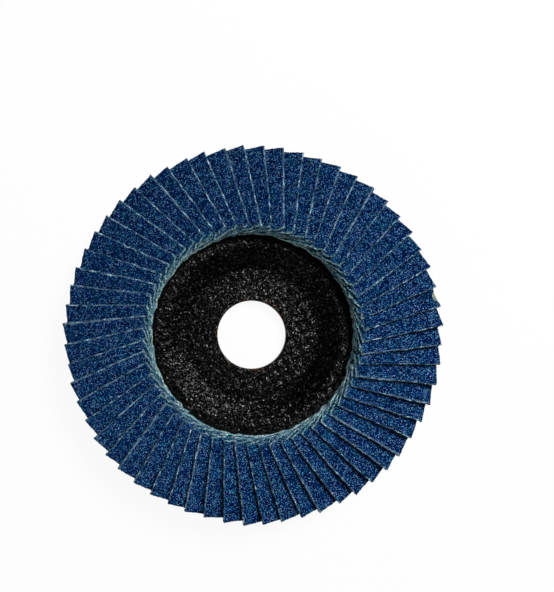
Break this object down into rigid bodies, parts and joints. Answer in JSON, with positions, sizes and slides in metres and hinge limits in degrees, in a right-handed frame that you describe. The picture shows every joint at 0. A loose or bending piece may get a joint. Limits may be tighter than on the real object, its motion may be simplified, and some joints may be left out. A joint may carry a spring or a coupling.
{
  "type": "flap disc",
  "caption": "Abrasive flap disc with a depressed-centre backing plate, a plain bore and a ring of overlapping coated cloth flaps, for an angle grinder.",
  "frame": {"origin": "on the bore's axis at the hub's back face, which is the lowest face", "axes": "+Z along the bore from the hub's back to the abrasive side, +X and +Y across the disc"},
  "size_m": [0.1164, 0.1164, 0.0141],
  "materials": {
    "plate_resin": "black resin over glass-fibre mesh, uneven gloss",
    "adhesive_resin": "cured black adhesive",
    "abrasive_cloth": "blue grain on woven cloth, pale frayed cut edges"
  },
  "bodies": {
    "root": {"backing_plate": "plate_resin", "adhesive_bed": "adhesive_resin", "flap_pair_01": "abrasive_cloth", "flap_pair_02": "abrasive_cloth", "flap_pair_03": "abrasive_cloth", "flap_pair_04": "abrasive_cloth", "flap_pair_05": "abrasive_cloth", "flap_pair_06": "abrasive_cloth", "flap_pair_07": "abrasive_cloth", "flap_pair_08": "abrasive_cloth", "flap_pair_09": "abrasive_cloth", "flap_pair_10": "abrasive_cloth", "flap_pair_11": "abrasive_cloth", "flap_pair_12": "abrasive_cloth", "flap_pair_13": "abrasive_cloth", "flap_pair_14": "abrasive_cloth", "flap_pair_15": "abrasive_cloth", "flap_pair_16": "abrasive_cloth", "flap_pair_17": "abrasive_cloth", "flap_pair_18": "abrasive_cloth", "flap_pair_19": "abrasive_cloth", "flap_pair_20": "abrasive_cloth", "flap_pair_21": "abrasive_cloth", "flap_pair_22": "abrasive_cloth", "flap_pair_23": "abrasive_cloth", "flap_pair_24": "abrasive_cloth", "flap_pair_25": "abrasive_cloth", "flap_pair_26": "abrasive_cloth", "flap_pair_27": "abrasive_cloth", "flap_pair_28": "abrasive_cloth", "flap_pair_29": "abrasive_cloth", "flap_pair_30": "abrasive_cloth"}
  },
  "joints": []
}
